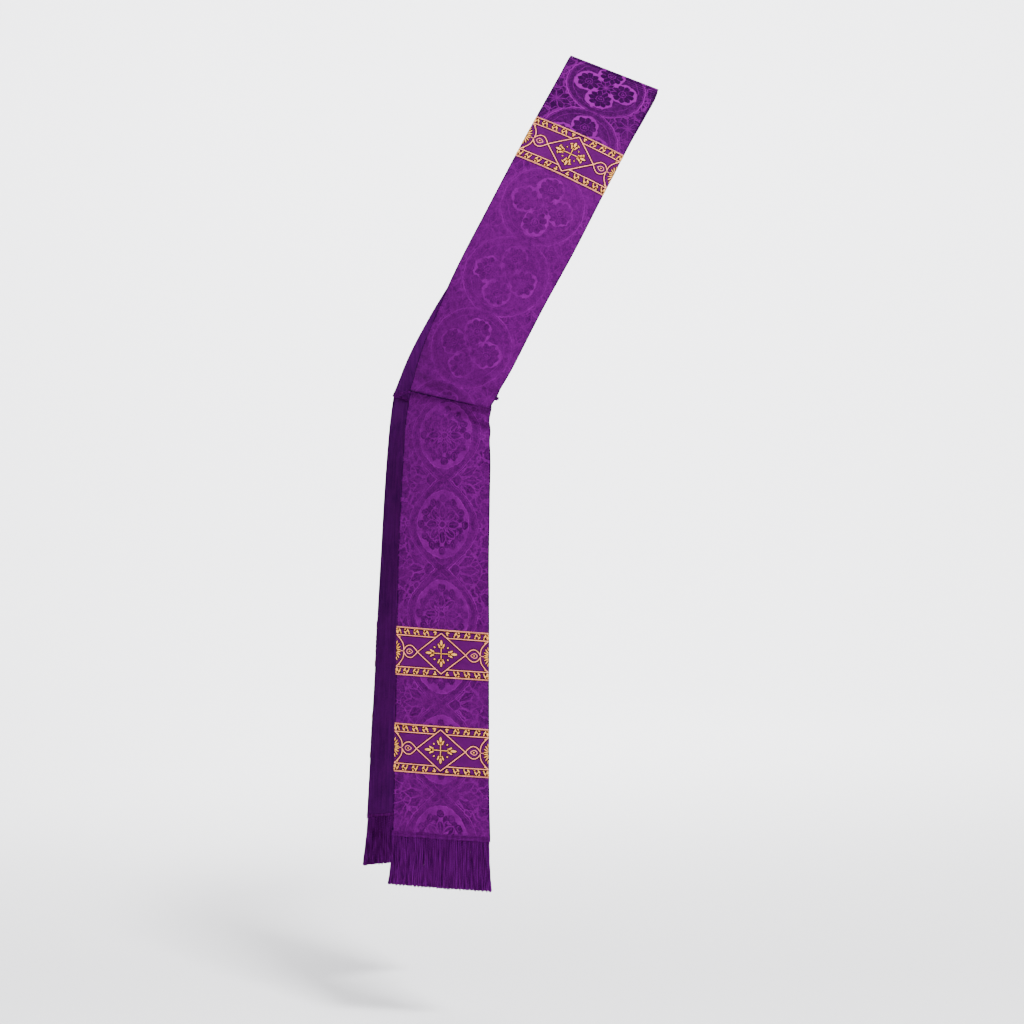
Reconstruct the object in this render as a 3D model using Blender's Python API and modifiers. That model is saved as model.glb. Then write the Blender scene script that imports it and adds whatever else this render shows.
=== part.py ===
"""Deacon's stole: a long strip of damask worn over the left shoulder and caught at the right hip.

The strip lies over the shoulder, crosses the chest and the back to the right hip, is folded in a
mitred tuck there and hangs to a fringed hem, in front and behind. A tie cord behind the two tucks
holds the halves together. Nothing fills the hollow where the wearer stands.

Frame: metres, +Z up, the wearer faces -Y and their left is +X. The origin is the middle of the
shoulder seam, where the wearer's shoulder carries the stole.
"""

import math
from collections import namedtuple

import bmesh
import bpy
import numpy as np
from mathutils import Vector

MM = 0.001

# Cloth and trim
WALL = 2.0 * MM  # face cloth, interlining and lining, sewn as one
SEAM_GAP = 0.3 * MM  # between pieces that are sewn to each other
GALLOON_WALL = 0.9 * MM
CELLS_ACROSS = 12
STEP = 0.5 * MM  # half the stretch over which a run's direction is measured

# The mitred tuck at the hip: how far the run above laps over the run below
LAP_OUTER = 0.9 * MM
LAP_INNER = 4.2 * MM
LAP_FADE = 55 * MM  # the lower run comes back out to its own line over this length
DIMPLE_DEPTH = 4.5 * MM  # soft hollow under the tuck, towards the inner edge
DIMPLE_ACROSS = 0.55  # in half widths from the middle
DIMPLE_BELOW = 26 * MM
DIMPLE_REACH = 0.42  # in half widths
DIMPLE_HEIGHT = 15 * MM

# Fringe: strands that grow out of a narrow woven header under the hem
STRANDS = 52
STRAND_SHARE = 0.70  # of the pitch; the rest is the gap to the next strand
HEADER_HEIGHT = 6.5 * MM
HEADER_PROUD = 0.4 * MM
FRINGE_WALL = 2.6 * MM
FRINGE_LENGTH = 80 * MM  # header top to strand tips
FLARE = 1.055  # width at the tips over width at the header
STRAND_SWAY = 1.1 * MM
STRAND_UNEVEN = 1.6 * MM
TIP_TAPER = 0.82
PLUMB = Vector((0, 0, -1))

# Tie cord
CORD_DIAMETER = 4.7 * MM
CORD_SPACING = 2.4 * CORD_DIAMETER  # between the points of its route
CORD_RISE_INNER = 17 * MM  # how far above the tuck it runs at the inner edge
KNOT_SCALE = 1.75
KNOT_PAST_EDGE = 1.0 * MM

# A section across the strip. x, y and z place its middle in mm. turn is the angle of the section in
# plan, with its right end (+X) farther back when positive; dip is how far that end hangs below the
# horizontal, both in degrees. width and bow, the rise of the middle over the chord, are in mm. The
# cloth has that many rows of cells between a section and the next.
Section = namedtuple("Section", "name x y z turn dip width bow cells")

FRONT_DIAGONAL = (
    Section("crest", 0, -0.15, 2, 0, 21.2, 144, 0.0, 1),
    Section("brow", 0, -2.2, 2, 0, 21.2, 144, 0.0, 1),
    Section("roll", -3, -9, -3.5, 0.3, 21.4, 144, 0.5, 3),
    Section("shoulder", -18, -32, -34, 1.7, 21.6, 143, 2.0, 3),
    Section("collarbone", -34, -56, -67, 3.2, 22.0, 143, 3.5, 3),
    Section("band_top", -55.5, -79, -110, 4.4, 23.3, 143, 4.5, 4),
    Section("band_foot", -87.5, -103, -173, 4.4, 24.0, 143, 5.5, 4),
    Section("chest", -130.5, -121, -258, 2.7, 25.6, 143, 6.5, 4),
    Section("ribs", -177, -124, -345.5, -1.8, 26.6, 141, 7.5, 4),
    Section("waist", -213, -117, -420, -11.4, 23.7, 140, 9.0, 4),
    Section("hip", -234, -104, -465.5, -20.0, 15.0, 141, 10.0, 4),
    Section("tuck", -249, -95.5, -503, -22.2, 12.6, 133.5, 9.0, 0),
)

FRONT_HANGING = (
    Section("tuck", -249.2, -95.4, -504.5, -22.2, 12.6, 133.5, 9.0, 2),
    Section("fold", -251.5, -94.8, -516, -21.8, 10.0, 133, 9.0, 3),
    Section("relief", -253.2, -95.2, -533, -21.4, 7.4, 134.5, 9.0, 4),
    Section("thigh", -254, -99, -575, -21.2, 5.8, 139, 8.5, 4),
    Section("drop", -256, -105, -646, -20.6, 4.4, 142.5, 7.5, 4),
    Section("knee", -258.5, -111.5, -734, -18.4, 3.9, 143, 6.5, 4),
    Section("upper_band_top", -259, -117.5, -843, -16.0, 3.3, 143, 5.5, 4),
    Section("upper_band_foot", -259.6, -121, -913.5, -14.6, 2.6, 143, 5.0, 3),
    Section("lower_band_top", -260.1, -124.5, -984, -13.4, 2.5, 143.5, 5.0, 4),
    Section("lower_band_foot", -260.7, -128, -1055, -12.1, 2.6, 144, 4.5, 4),
    Section("hem", -260.8, -131.5, -1142, -10.6, 2.2, 147, 4.0, 0),
)

BACK_DIAGONAL = (
    Section("crest", 0, 0.15, 2, 0, 21.2, 144, 0.0, 1),
    Section("brow", 0, 2.2, 2, 0, 21.2, 144, 0.0, 1),
    Section("roll", -1.5, 9, -3.5, -0.3, 21.4, 144, 0.5, 3),
    Section("shoulder", -17, 33, -33, -1.7, 21.8, 143, 2.0, 3),
    Section("yoke", -37, 58, -66, -3.2, 22.6, 143, 3.5, 3),
    Section("band_top", -60, 82, -108, -4.0, 24.5, 143, 4.5, 4),
    Section("band_foot", -95, 107, -171, -2.0, 26.2, 143, 5.5, 4),
    Section("blade", -142, 126, -256, 3.0, 28.2, 143, 6.5, 4),
    Section("ribs", -196, 126, -343, 14.0, 28.8, 142, 8.0, 4),
    Section("waist", -243, 109.5, -417, 28.0, 26.4, 141, 10.0, 4),
    Section("hip", -270, 90, -464, 36.6, 20.0, 140, 11.0, 4),
    Section("tuck", -290, 69, -509, 39.6, 14.6, 136, 10.0, 0),
)

BACK_HANGING = (
    Section("tuck", -290.2, 69.1, -510.5, 39.6, 14.6, 136, 10.0, 2),
    Section("fold", -291.2, 69.8, -522, 39.4, 11.6, 137, 10.0, 3),
    Section("relief", -292, 71, -540, 39.0, 8.8, 139, 9.5, 4),
    Section("thigh", -294, 74, -582, 38.2, 6.2, 142, 9.0, 4),
    Section("drop", -298, 77, -652, 37.2, 4.6, 143, 8.0, 4),
    Section("knee", -302.5, 80, -740, 36.2, 3.9, 143, 7.0, 4),
    Section("upper_band_top", -308, 83, -843, 35.4, 3.3, 143, 6.0, 4),
    Section("upper_band_foot", -311, 84.5, -913.5, 35.0, 2.7, 143, 5.5, 3),
    Section("lower_band_top", -314.5, 86, -984, 34.6, 2.5, 143.5, 5.0, 4),
    Section("lower_band_foot", -318, 88, -1055, 34.2, 2.5, 144, 4.5, 4),
    Section("hem", -321.5, 90, -1142, 34.0, 2.2, 147, 4.0, 0),
)

# Where the cord passes the wearer's side between the two halves, in mm
SIDE_ROUTE = ((-320, -43, -490.5), (-329.5, -20, -492), (-336, 4, -493.5))

# Colours are linear; each finish has its roughness
DAMASK = ("stole_damask", (0.150, 0.017, 0.198), 0.55)
GALLOON = ("galloon_braid", (0.360, 0.170, 0.120), 0.45)
FRINGE = ("fringe_thread", (0.075, 0.008, 0.118), 0.60)
CORD = ("tie_cord", (0.090, 0.012, 0.130), 0.60)


def clear_scene():
    for old in list(bpy.data.objects):
        bpy.data.objects.remove(old, do_unlink=True)


def make_collection(name):
    made = bpy.data.collections.new(name)
    bpy.context.scene.collection.children.link(made)
    return made


def make_material(name, colour, roughness):
    material = bpy.data.materials.new(name)
    material.use_nodes = True
    shader = material.node_tree.nodes["Principled BSDF"]
    shader.inputs["Base Color"].default_value = (*colour, 1.0)
    shader.inputs["Roughness"].default_value = roughness
    shader.inputs["Metallic"].default_value = 0.0
    material.diffuse_color = (*colour, 1.0)
    return material


def columns(sections):
    """The numbers of a table of sections, in metres and radians, a row for each."""
    degree = math.radians(1)
    units = (MM, MM, MM, degree, degree, MM, MM)
    return np.array([(s.x, s.y, s.z, s.turn, s.dip, s.width, s.bow) for s in sections]) * units


def distances(table):
    """How far down the middle of the strip each section lies."""
    steps = np.linalg.norm(np.diff(table[:, :3], axis=0), axis=1)
    return np.concatenate(([0.0], np.cumsum(steps)))


def smooth(table, along, at):
    """Every column at the distance `at`, on a smooth curve through the sections."""
    step = np.diff(along)
    rise = np.diff(table, axis=0) / step[:, None]
    before, after = step[:-1, None], step[1:, None]
    inner = (after * rise[:-1] + before * rise[1:]) / (before + after)
    slope = np.vstack((1.5 * rise[0] - 0.5 * inner[0], inner, 1.5 * rise[-1] - 0.5 * inner[-1]))
    i = int(np.clip(np.searchsorted(along, at) - 1, 0, len(step) - 1))
    h, t = step[i], (at - along[i]) / step[i]
    return (
        (2 * t**3 - 3 * t**2 + 1) * table[i]
        + (t**3 - 2 * t**2 + t) * h * slope[i]
        + (3 * t**2 - 2 * t**3) * table[i + 1]
        + (t**3 - t**2) * h * slope[i + 1]
    )


def recess(u, below):
    """How far the hanging run lies inside its own line, `below` a tuck: the lap and its dimple."""
    lap = LAP_OUTER + (LAP_INNER - LAP_OUTER) * (u + 1) / 2
    dimple = math.exp(
        -(((u - DIMPLE_ACROSS) / DIMPLE_REACH) ** 2) - ((below - DIMPLE_BELOW) / DIMPLE_HEIGHT) ** 2
    )
    return lap * math.exp(-((below / LAP_FADE) ** 2)) + DIMPLE_DEPTH * dimple


class Run:
    """One straight run of a half: a smooth surface through its sections, u from -1 to 1 across it."""

    def __init__(self, sections, outward, tucked_under=False):
        self.sections = sections
        self.table = columns(sections)
        self.along = distances(self.table)
        self.outward = outward  # +1 for the back, whose outside faces +Y, and -1 for the front
        self.tucked_under = tucked_under

    def place(self, name):
        """The distance of a named section."""
        return self.along[[s.name for s in self.sections].index(name)]

    def rows(self, first, last):
        """The distances of the rows of cells from one named section to another."""
        names = [s.name for s in self.sections]
        found = []
        for i in range(names.index(first), names.index(last)):
            start, end, cells = self.along[i], self.along[i + 1], self.sections[i].cells
            found += [start + (end - start) * k / cells for k in range(cells)]
        return found + [self.place(last)]

    def frame(self, at):
        """Middle of the chord, the directions across, out and down the run, half width and bow."""
        x, y, z, turn, dip, width, bow = smooth(self.table, self.along, at)
        ahead, behind = (smooth(self.table, self.along, at + d)[:3] for d in (STEP, -STEP))
        down = Vector(ahead - behind).normalized()
        across = Vector((math.cos(turn) * math.cos(dip), math.sin(turn) * math.cos(dip), -math.sin(dip)))
        out = across.cross(down).normalized() * self.outward
        return Vector((x, y, z)), across, out, down, width / 2, bow

    def point(self, u, at, inward=0.0):
        """A point of the outer face, or `inward` behind it."""
        middle, across, out, _, half_width, bow = self.frame(at)
        if self.tucked_under:
            inward += recess(u, at)
        return middle + across * (u * half_width) + out * (bow * (1 - u * u) - inward)


class Half:
    """Front or back half: a diagonal run and a hanging run that meet in the tuck."""

    def __init__(self, diagonal, hanging, outward):
        self.diagonal = Run(diagonal, outward)
        self.hanging = Run(hanging, outward, tucked_under=True)
        self.outward = outward

    def skin(self, stretches):
        """Rows of points of the outer face, for (run, first section, last section) stretches."""
        us = np.linspace(-1, 1, CELLS_ACROSS + 1)
        rows = [(run, at) for run, first, last in stretches for at in run.rows(first, last)]
        return [[run.point(u, at) for u in us] for run, at in rows]


def laid_grid(points, outward):
    """A grid with a vertex on each of the rows of points, facing away from the wearer."""
    bm = bmesh.new()
    down, across = len(points) - 1, len(points[0]) - 1
    bmesh.ops.create_grid(bm, x_segments=across, y_segments=down, size=1)
    for vertex in bm.verts:
        column = round((vertex.co.x + 1) / 2 * across)
        row = round((1 - vertex.co.y) / 2 * down)
        vertex.co = points[row][column]
    if outward > 0:
        bmesh.ops.reverse_faces(bm, faces=bm.faces[:])
    bm.normal_update()
    return bm


def add_object(bm, name, material, collection):
    mesh = bpy.data.meshes.new(name)
    bm.to_mesh(mesh)
    bm.free()
    mesh.materials.append(material)
    mesh.shade_smooth()
    made = bpy.data.objects.new(name, mesh)
    collection.objects.link(made)
    return made


def thicken(piece, wall, side):
    """Solidify inwards (-1) or outwards (+1) of the face."""
    solid = piece.modifiers.new("wall", "SOLIDIFY")
    solid.thickness = wall
    solid.offset = side
    solid.use_even_offset = True
    solid.use_quality_normals = True


def make_half(name, half, material, collection):
    stretches = ((half.diagonal, "crest", "tuck"), (half.hanging, "tuck", "hem"))
    piece = add_object(laid_grid(half.skin(stretches), half.outward), name, material, collection)
    thicken(piece, WALL, -1)
    return piece


def make_band(name, half, run, first, last, material, collection):
    """A galloon band: the half's own points between two sections, moved out by the seam's gap."""
    bm = laid_grid(half.skin(((run, first, last),)), half.outward)
    for vertex, moved in [(v, v.co + v.normal * SEAM_GAP) for v in bm.verts]:
        vertex.co = moved
    piece = add_object(bm, name, material, collection)
    thicken(piece, GALLOON_WALL, 1)
    return piece


def flat_fringe():
    """Header and strands laid flat: x is u, y the depth and z the level.

    The header is levels 0 to -1, and the strands go on to -2 and -3, each one from its own face of
    the header's foot.
    """
    bm = bmesh.new()
    cells = 2 * STRANDS - 1
    bmesh.ops.create_grid(bm, x_segments=cells, y_segments=1, size=1)
    pitch = 2 / (STRANDS - 1 + STRAND_SHARE)
    for vertex in bm.verts:
        edge = round((vertex.co.x + 1) / 2 * cells)
        vertex.co = ((edge // 2 + (edge % 2) * STRAND_SHARE) * pitch - 1, 0, -(1 - vertex.co.y) / 2)
    wall = bmesh.ops.extrude_face_region(bm, geom=bm.faces[:])
    back = [g for g in wall["geom"] if isinstance(g, bmesh.types.BMVert)]
    bmesh.ops.translate(bm, verts=back, vec=(0, 1, 0))
    bmesh.ops.recalc_face_normals(bm, faces=bm.faces[:])
    foot = sorted((f for f in bm.faces if f.normal.z < -0.9), key=lambda f: f.calc_center_median().x)
    growing = foot[::2]
    for _ in range(2):
        growing = bmesh.ops.extrude_discrete_faces(bm, faces=growing)["faces"]
        tips = {v for f in growing for v in f.verts}
        bmesh.ops.translate(bm, verts=list(tips), vec=(0, 0, -1))
    return bm


def make_fringe(name, half, material, collection):
    """The flat fringe bent to the hem's own curve and hung below it."""
    run = half.hanging
    middle, across, out, down, half_width, bow = run.frame(run.place("hem"))
    plumb = (PLUMB - across * PLUMB.dot(across)).normalized()
    sewn = (SEAM_GAP, SEAM_GAP + HEADER_HEIGHT)
    hanging = (FRINGE_LENGTH * 0.5, FRINGE_LENGTH - HEADER_HEIGHT)
    flares = (1.0, 1.003, 1.02, FLARE)
    spaces = STRANDS - 1 + STRAND_SHARE
    bm = flat_fringe()
    for vertex in bm.verts:
        u, depth, level = vertex.co.x, vertex.co.y, round(-vertex.co.z)
        strand = round((u + 1) / 2 * spaces - STRAND_SHARE / 2)
        drop, sway = down * sewn[min(level, 1)], 0.0
        if level >= 2:
            root = (strand + STRAND_SHARE / 2) * 2 / spaces - 1
            u = root + (u - root) * TIP_TAPER
            sway = STRAND_SWAY * (level - 1) / 2 * math.sin(2.4 * strand)
            drop += plumb * hanging[level - 2]
        if level == 3:
            shorter = 0.5 + 0.5 * math.sin(1.7 * strand + 0.6 * math.sin(0.9 * strand))
            drop -= plumb * (STRAND_UNEVEN * shorter)
        proud = HEADER_PROUD - depth * FRINGE_WALL + sway + bow * (1 - u * u)
        vertex.co = middle + across * (u * flares[level] * half_width) + out * proud + drop
    if half.outward > 0:
        bmesh.ops.reverse_faces(bm, faces=bm.faces[:])
    return add_object(bm, name, material, collection)


def cord_stretch(half, us):
    """The cord's route behind a half, just above the tuck, from one edge to the other."""
    run = half.diagonal
    foot = run.place("tuck")
    found = []
    for u in us:
        lap = LAP_OUTER + (LAP_INNER - LAP_OUTER) * (u + 1) / 2
        behind = WALL + SEAM_GAP + CORD_DIAMETER / 2 + lap
        found.append(run.point(u, foot - CORD_RISE_INNER * (u + 1) / 2, behind))
    return found


def cord_route(front, back):
    """From the knot at the front half's inner edge, round the side, to the back half's knot."""
    us = (1.0, 0.75, 0.45, 0.1, -0.3, -0.65, -0.92)
    side = [Vector(p) * MM for p in SIDE_ROUTE]
    ahead, behind = cord_stretch(front, us), cord_stretch(back, us)
    ends = []
    for stretch in (ahead, behind):
        out_past = (stretch[0] - stretch[1]).normalized()
        ends.append(stretch[0] + out_past * (KNOT_PAST_EDGE + KNOT_SCALE * CORD_DIAMETER / 2))
    return [ends[0], *ahead, *side, *reversed(behind), ends[1]]


def even_points(route):
    """Points a constant distance apart on the smooth curve through the route's points."""
    table = np.array([tuple(p) for p in route])
    along = distances(table)
    fine = np.linspace(0, along[-1], 40 * len(route))
    curve = np.array([smooth(table, along, s) for s in fine])
    length = distances(curve)
    places = np.linspace(0, length[-1], round(length[-1] / CORD_SPACING) + 1)
    return [[np.interp(d, length, curve[:, k]) for k in range(3)] for d in places]


def make_cord(name, front, back, material, collection):
    """The tie cord, with a knot swelling it at each end."""
    points = even_points(cord_route(front, back))
    knot = [0.35, 1.2, KNOT_SCALE, KNOT_SCALE, 1.2]
    start, finish = (Vector(b) - Vector(a) for a, b in ((points[0], points[1]), (points[-1], points[-2])))
    shares = [0.0, 0.12, 0.35, 0.6, 0.85]
    head = [tuple(Vector(points[0]) + start * s) for s in shares]
    tail = [tuple(Vector(points[-1]) + finish * s) for s in reversed(shares)]
    route = head + points[1:-1] + tail
    sizes = knot + [1.0] * (len(points) - 2) + knot[::-1]
    curve = bpy.data.curves.new(name, "CURVE")
    curve.dimensions = "3D"
    spline = curve.splines.new("POLY")
    spline.points.add(len(route) - 1)
    for control, place, size in zip(spline.points, route, sizes):
        control.co = (*place, 1.0)
        control.radius = size
    curve.bevel_depth = CORD_DIAMETER / 2
    curve.bevel_resolution = 2
    curve.use_fill_caps = True
    curve.materials.append(material)
    made = bpy.data.objects.new(name, curve)
    collection.objects.link(made)
    return made


def main():
    clear_scene()
    stole = make_collection("clerical_stole")
    damask, galloon, fringe, cord = (make_material(*m) for m in (DAMASK, GALLOON, FRINGE, CORD))
    halves = {
        "front": Half(FRONT_DIAGONAL, FRONT_HANGING, -1),
        "back": Half(BACK_DIAGONAL, BACK_HANGING, 1),
    }
    for side, half in halves.items():
        make_half(f"{side}_half", half, damask, stole)
        make_band(f"{side}_shoulder_band", half, half.diagonal, "band_top", "band_foot", galloon, stole)
        for place in ("upper", "lower"):
            first, last = f"{place}_band_top", f"{place}_band_foot"
            make_band(f"{side}_{place}_band", half, half.hanging, first, last, galloon, stole)
        make_fringe(f"{side}_fringe", half, fringe, stole)
    make_cord("tie_cord", halves["front"], halves["back"], cord, stole)


main()
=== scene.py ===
import math
from functools import partialmethod

import bmesh
import bpy
import numpy as np
from mathutils import Matrix, Vector


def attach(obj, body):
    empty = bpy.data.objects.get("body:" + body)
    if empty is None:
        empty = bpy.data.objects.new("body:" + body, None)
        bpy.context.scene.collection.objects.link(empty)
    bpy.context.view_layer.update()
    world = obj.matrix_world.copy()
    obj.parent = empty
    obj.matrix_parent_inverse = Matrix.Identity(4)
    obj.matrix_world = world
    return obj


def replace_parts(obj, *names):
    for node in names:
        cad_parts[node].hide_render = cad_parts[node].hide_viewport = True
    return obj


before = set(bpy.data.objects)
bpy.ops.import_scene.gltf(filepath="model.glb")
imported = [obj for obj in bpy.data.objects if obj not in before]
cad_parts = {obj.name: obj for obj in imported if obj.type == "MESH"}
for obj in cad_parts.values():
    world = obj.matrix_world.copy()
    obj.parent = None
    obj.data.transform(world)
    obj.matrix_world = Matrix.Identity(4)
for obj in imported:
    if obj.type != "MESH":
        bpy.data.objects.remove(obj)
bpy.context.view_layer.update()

mm = 0.001
degree = math.radians(1)
print("frame loaded")

# Camera, light and floor, in metres and watts

studio = {
    "cameraPlace": (-0.157, -3.10, -0.670),
    "lens": 71.26,  # mm, as the sensor is
    "sensor": 36.0,
    "floorLevel": -1.43,
    "floorRadius": 5.2,
    "wallRadius": 7.6,
    "wallHeight": 4.6,
    "paper": (0.86, 0.86, 0.88),
    "skyStrength": 0.5,
    # place, aim, width, height, watts
    "lamps": (
        ("keyLamp", (1.9, -3.4, 3.9), (-0.17, 0.0, -0.55), 1.3, 1.1, 750),
        ("fillLamp", (-1.9, -2.3, 0.2), (-0.17, 0.0, -0.7), 2.2, 2.0, 26),
        ("topLamp", (0.5, -0.8, 1.9), (-0.1, 0.0, -0.3), 1.2, 1.0, 34),
        ("backLamp", (-0.9, 2.4, 1.0), (-0.2, 0.0, -0.6), 1.8, 1.6, 84),
        ("backdropLamp", (0.0, 3.0, 2.7), (0.0, 7.4, -0.2), 4.5, 1.2, 900),
    ),
}


def placed(name, data):
    made = bpy.data.objects.new(name, data)
    bpy.context.scene.collection.objects.link(made)
    return made


def makeCamera():
    lens = bpy.data.cameras.new("camera")
    lens.sensor_width, lens.lens = studio["sensor"], studio["lens"]
    camera = placed("camera", lens)
    camera.location = studio["cameraPlace"]
    camera.rotation_euler = (math.pi / 2, 0, 0)
    bpy.context.scene.camera = camera


def makeLamps():
    for name, place, aim, width, height, watts in studio["lamps"]:
        lamp = bpy.data.lights.new(name, "AREA")
        lamp.shape, lamp.size, lamp.size_y, lamp.energy = "RECTANGLE", width, height, watts
        holder = placed(name, lamp)
        holder.location = place
        away = Vector(place) - Vector(aim)
        holder.rotation_euler = away.to_track_quat("Z", "Y").to_euler()
    world = bpy.data.worlds.new("sky")
    world.use_nodes = True
    sky = world.node_tree.nodes["Background"]
    sky.inputs["Color"].default_value = (1.0, 1.0, 1.0, 1.0)
    sky.inputs["Strength"].default_value = studio["skyStrength"]
    bpy.context.scene.world = world


def makeFloor():
    # pale paper that lies flat and sweeps up all round
    bm = bmesh.new()
    flat, wide, tall = studio["floorRadius"], studio["wallRadius"], studio["wallHeight"]
    sweep, turns = wide - flat, [angle * degree for angle in range(10, 91, 10)]
    profile = [(0.0, 0.0), (flat * 0.5, 0.0), (flat, 0.0)]
    profile += [(flat + sweep * math.sin(turn), sweep * (1 - math.cos(turn))) for turn in turns]
    profile.append((wide, tall))
    verts = [bm.verts.new((r, 0, z + studio["floorLevel"])) for r, z in profile]
    edges = [bm.edges.new(pair) for pair in zip(verts, verts[1:])]
    bmesh.ops.spin(bm, geom=verts + edges, axis=(0, 0, 1), cent=(0, 0, 0), dvec=(0, 0, 0),
                   angle=2 * math.pi, steps=64, use_merge=True)
    bmesh.ops.remove_doubles(bm, verts=bm.verts[:], dist=0.0001)
    bmesh.ops.recalc_face_normals(bm, faces=bm.faces[:])
    if sum(face.normal.z for face in bm.faces) < 0:
        bmesh.ops.reverse_faces(bm, faces=bm.faces[:])
    floor = finishPiece(meshOf(bm, "floor"), "floor", ("paper",))


# Materials. A pattern is written as ordinary sums of the cloth's own coordinates, in millimetres.


def feed(tree, socket, value):
    # a sum is linked to the socket, and a plain number or colour is set on it
    if isinstance(value, Sum):
        tree.links.new(value.socket, socket)
    else:
        socket.default_value = value


class Sum:
    # A number inside a material's nodes
    def __init__(self, tree, socket):
        self.tree, self.socket = tree, socket

    def use(self, operation, *values):
        node = self.tree.nodes.new("ShaderNodeMath")
        node.operation = operation
        for socket, value in zip(node.inputs, (self, *values)):
            feed(self.tree, socket, value)
        return Sum(self.tree, node.outputs[0])

    __add__ = __radd__ = partialmethod(use, "ADD")
    __mul__ = __rmul__ = partialmethod(use, "MULTIPLY")
    __sub__ = partialmethod(use, "SUBTRACT")
    __rsub__ = partialmethod(use, "MULTIPLY_ADD", -1.0)
    __truediv__ = partialmethod(use, "DIVIDE")
    __pow__ = partialmethod(use, "POWER")
    __neg__ = partialmethod(use, "MULTIPLY", -1.0)
    __abs__ = partialmethod(use, "ABSOLUTE")
    cos = partialmethod(use, "COSINE")
    sin = partialmethod(use, "SINE")

    def ramp(self, start, end):
        # 0 at start to 1 at end, eased
        node = self.tree.nodes.new("ShaderNodeMapRange")
        node.interpolation_type = "SMOOTHSTEP"
        for name, value in (("Value", self), ("From Min", start), ("From Max", end)):
            feed(self.tree, node.inputs[name], value)
        return Sum(self.tree, node.outputs["Result"])


def reach(x, y):
    return (x * x + y * y).use("SQRT")


def turnOf(x, y):
    return y.use("ARCTAN2", x)


def ribs(distance, pitch):
    # even waves from -1 to 1
    return (distance * (2 * math.pi / pitch)).cos()


def within(distance, blur=0.45):
    # 1 where the distance is below nought
    return distance.ramp(blur, -blur)


def line(distance, half, blur=0.4):
    # 1 along a line this far either side of nought
    return abs(distance).ramp(half + blur, half - blur)


def over(tone, *layers):
    # the tone with each level laid over it in turn, where its mask is 1
    for mask, level in layers:
        tone = tone + (level - tone) * mask
    return tone


class Finish:
    # A material being made: its shader, its coordinates and its mixes
    def __init__(self, name, roughness=0.5, specular=0.5, tint=(1, 1, 1), metal=0.0):
        self.material = bpy.data.materials.new(name)
        self.material.use_nodes = True
        self.tree = self.material.node_tree
        self.shader = self.tree.nodes["Principled BSDF"]
        self.set("Roughness", roughness)
        self.set("Specular IOR Level", specular)
        self.set("Specular Tint", (*tint, 1.0))
        self.set("Metallic", metal)

    def set(self, name, value):
        feed(self.tree, self.shader.inputs[name], value)

    def parts(self, socket):
        split = self.tree.nodes.new("ShaderNodeSeparateXYZ")
        self.tree.links.new(socket, split.inputs[0])
        return [Sum(self.tree, part) for part in split.outputs]

    def flat(self, layer="cloth"):
        # the piece's own flat coordinates
        uv = self.tree.nodes.new("ShaderNodeUVMap")
        uv.uv_map = layer
        return self.parts(uv.outputs[0])[:2]

    def place(self):
        # where the point is on the object, in metres
        return self.parts(self.tree.nodes.new("ShaderNodeTexCoord").outputs["Object"])

    def grain(self, scale, detail=3.0, stretch=(1, 1, 1), rough=0.55):
        # cloudy noise from 0 to 1 on the object's coordinates
        where = self.tree.nodes.new("ShaderNodeTexCoord")
        spread = self.tree.nodes.new("ShaderNodeMapping")
        spread.inputs["Scale"].default_value = stretch
        noise = self.tree.nodes.new("ShaderNodeTexNoise")
        for name, value in (("Scale", scale), ("Detail", detail), ("Roughness", rough)):
            feed(self.tree, noise.inputs[name], value)
        self.tree.links.new(where.outputs["Object"], spread.inputs["Vector"])
        self.tree.links.new(spread.outputs["Vector"], noise.inputs["Vector"])
        return Sum(self.tree, noise.outputs["Fac"])

    def cells(self, x, y, size):
        # how far a point lies inside its cell, less half the edge between cells
        join = self.tree.nodes.new("ShaderNodeCombineXYZ")
        cells = self.tree.nodes.new("ShaderNodeTexVoronoi")
        cells.feature = "DISTANCE_TO_EDGE"
        cells.inputs["Scale"].default_value = 1 / size
        self.tree.links.new(x.socket, join.inputs[0])
        self.tree.links.new(y.socket, join.inputs[1])
        self.tree.links.new(join.outputs[0], cells.inputs["Vector"])
        return Sum(self.tree, cells.outputs["Distance"]) * size - damask["cellEdge"]

    def colour(self, share, dark, light):
        mix = self.tree.nodes.new("ShaderNodeMix")
        mix.data_type = "RGBA"
        for socket, value in ((0, share), (6, (*dark, 1.0)), (7, (*light, 1.0))):
            feed(self.tree, mix.inputs[socket], value)
        self.tree.links.new(mix.outputs[2], self.shader.inputs["Base Color"])

    def raised(self, height, depth, strength=1.0):
        bump = self.tree.nodes.new("ShaderNodeBump")
        for name, value in (("Distance", depth), ("Strength", strength), ("Height", height)):
            feed(self.tree, bump.inputs[name], value)
        self.tree.links.new(bump.outputs["Normal"], self.shader.inputs["Normal"])


violet = (0.72, 0.16, 0.86)  # the tint of silk's gloss

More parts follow.
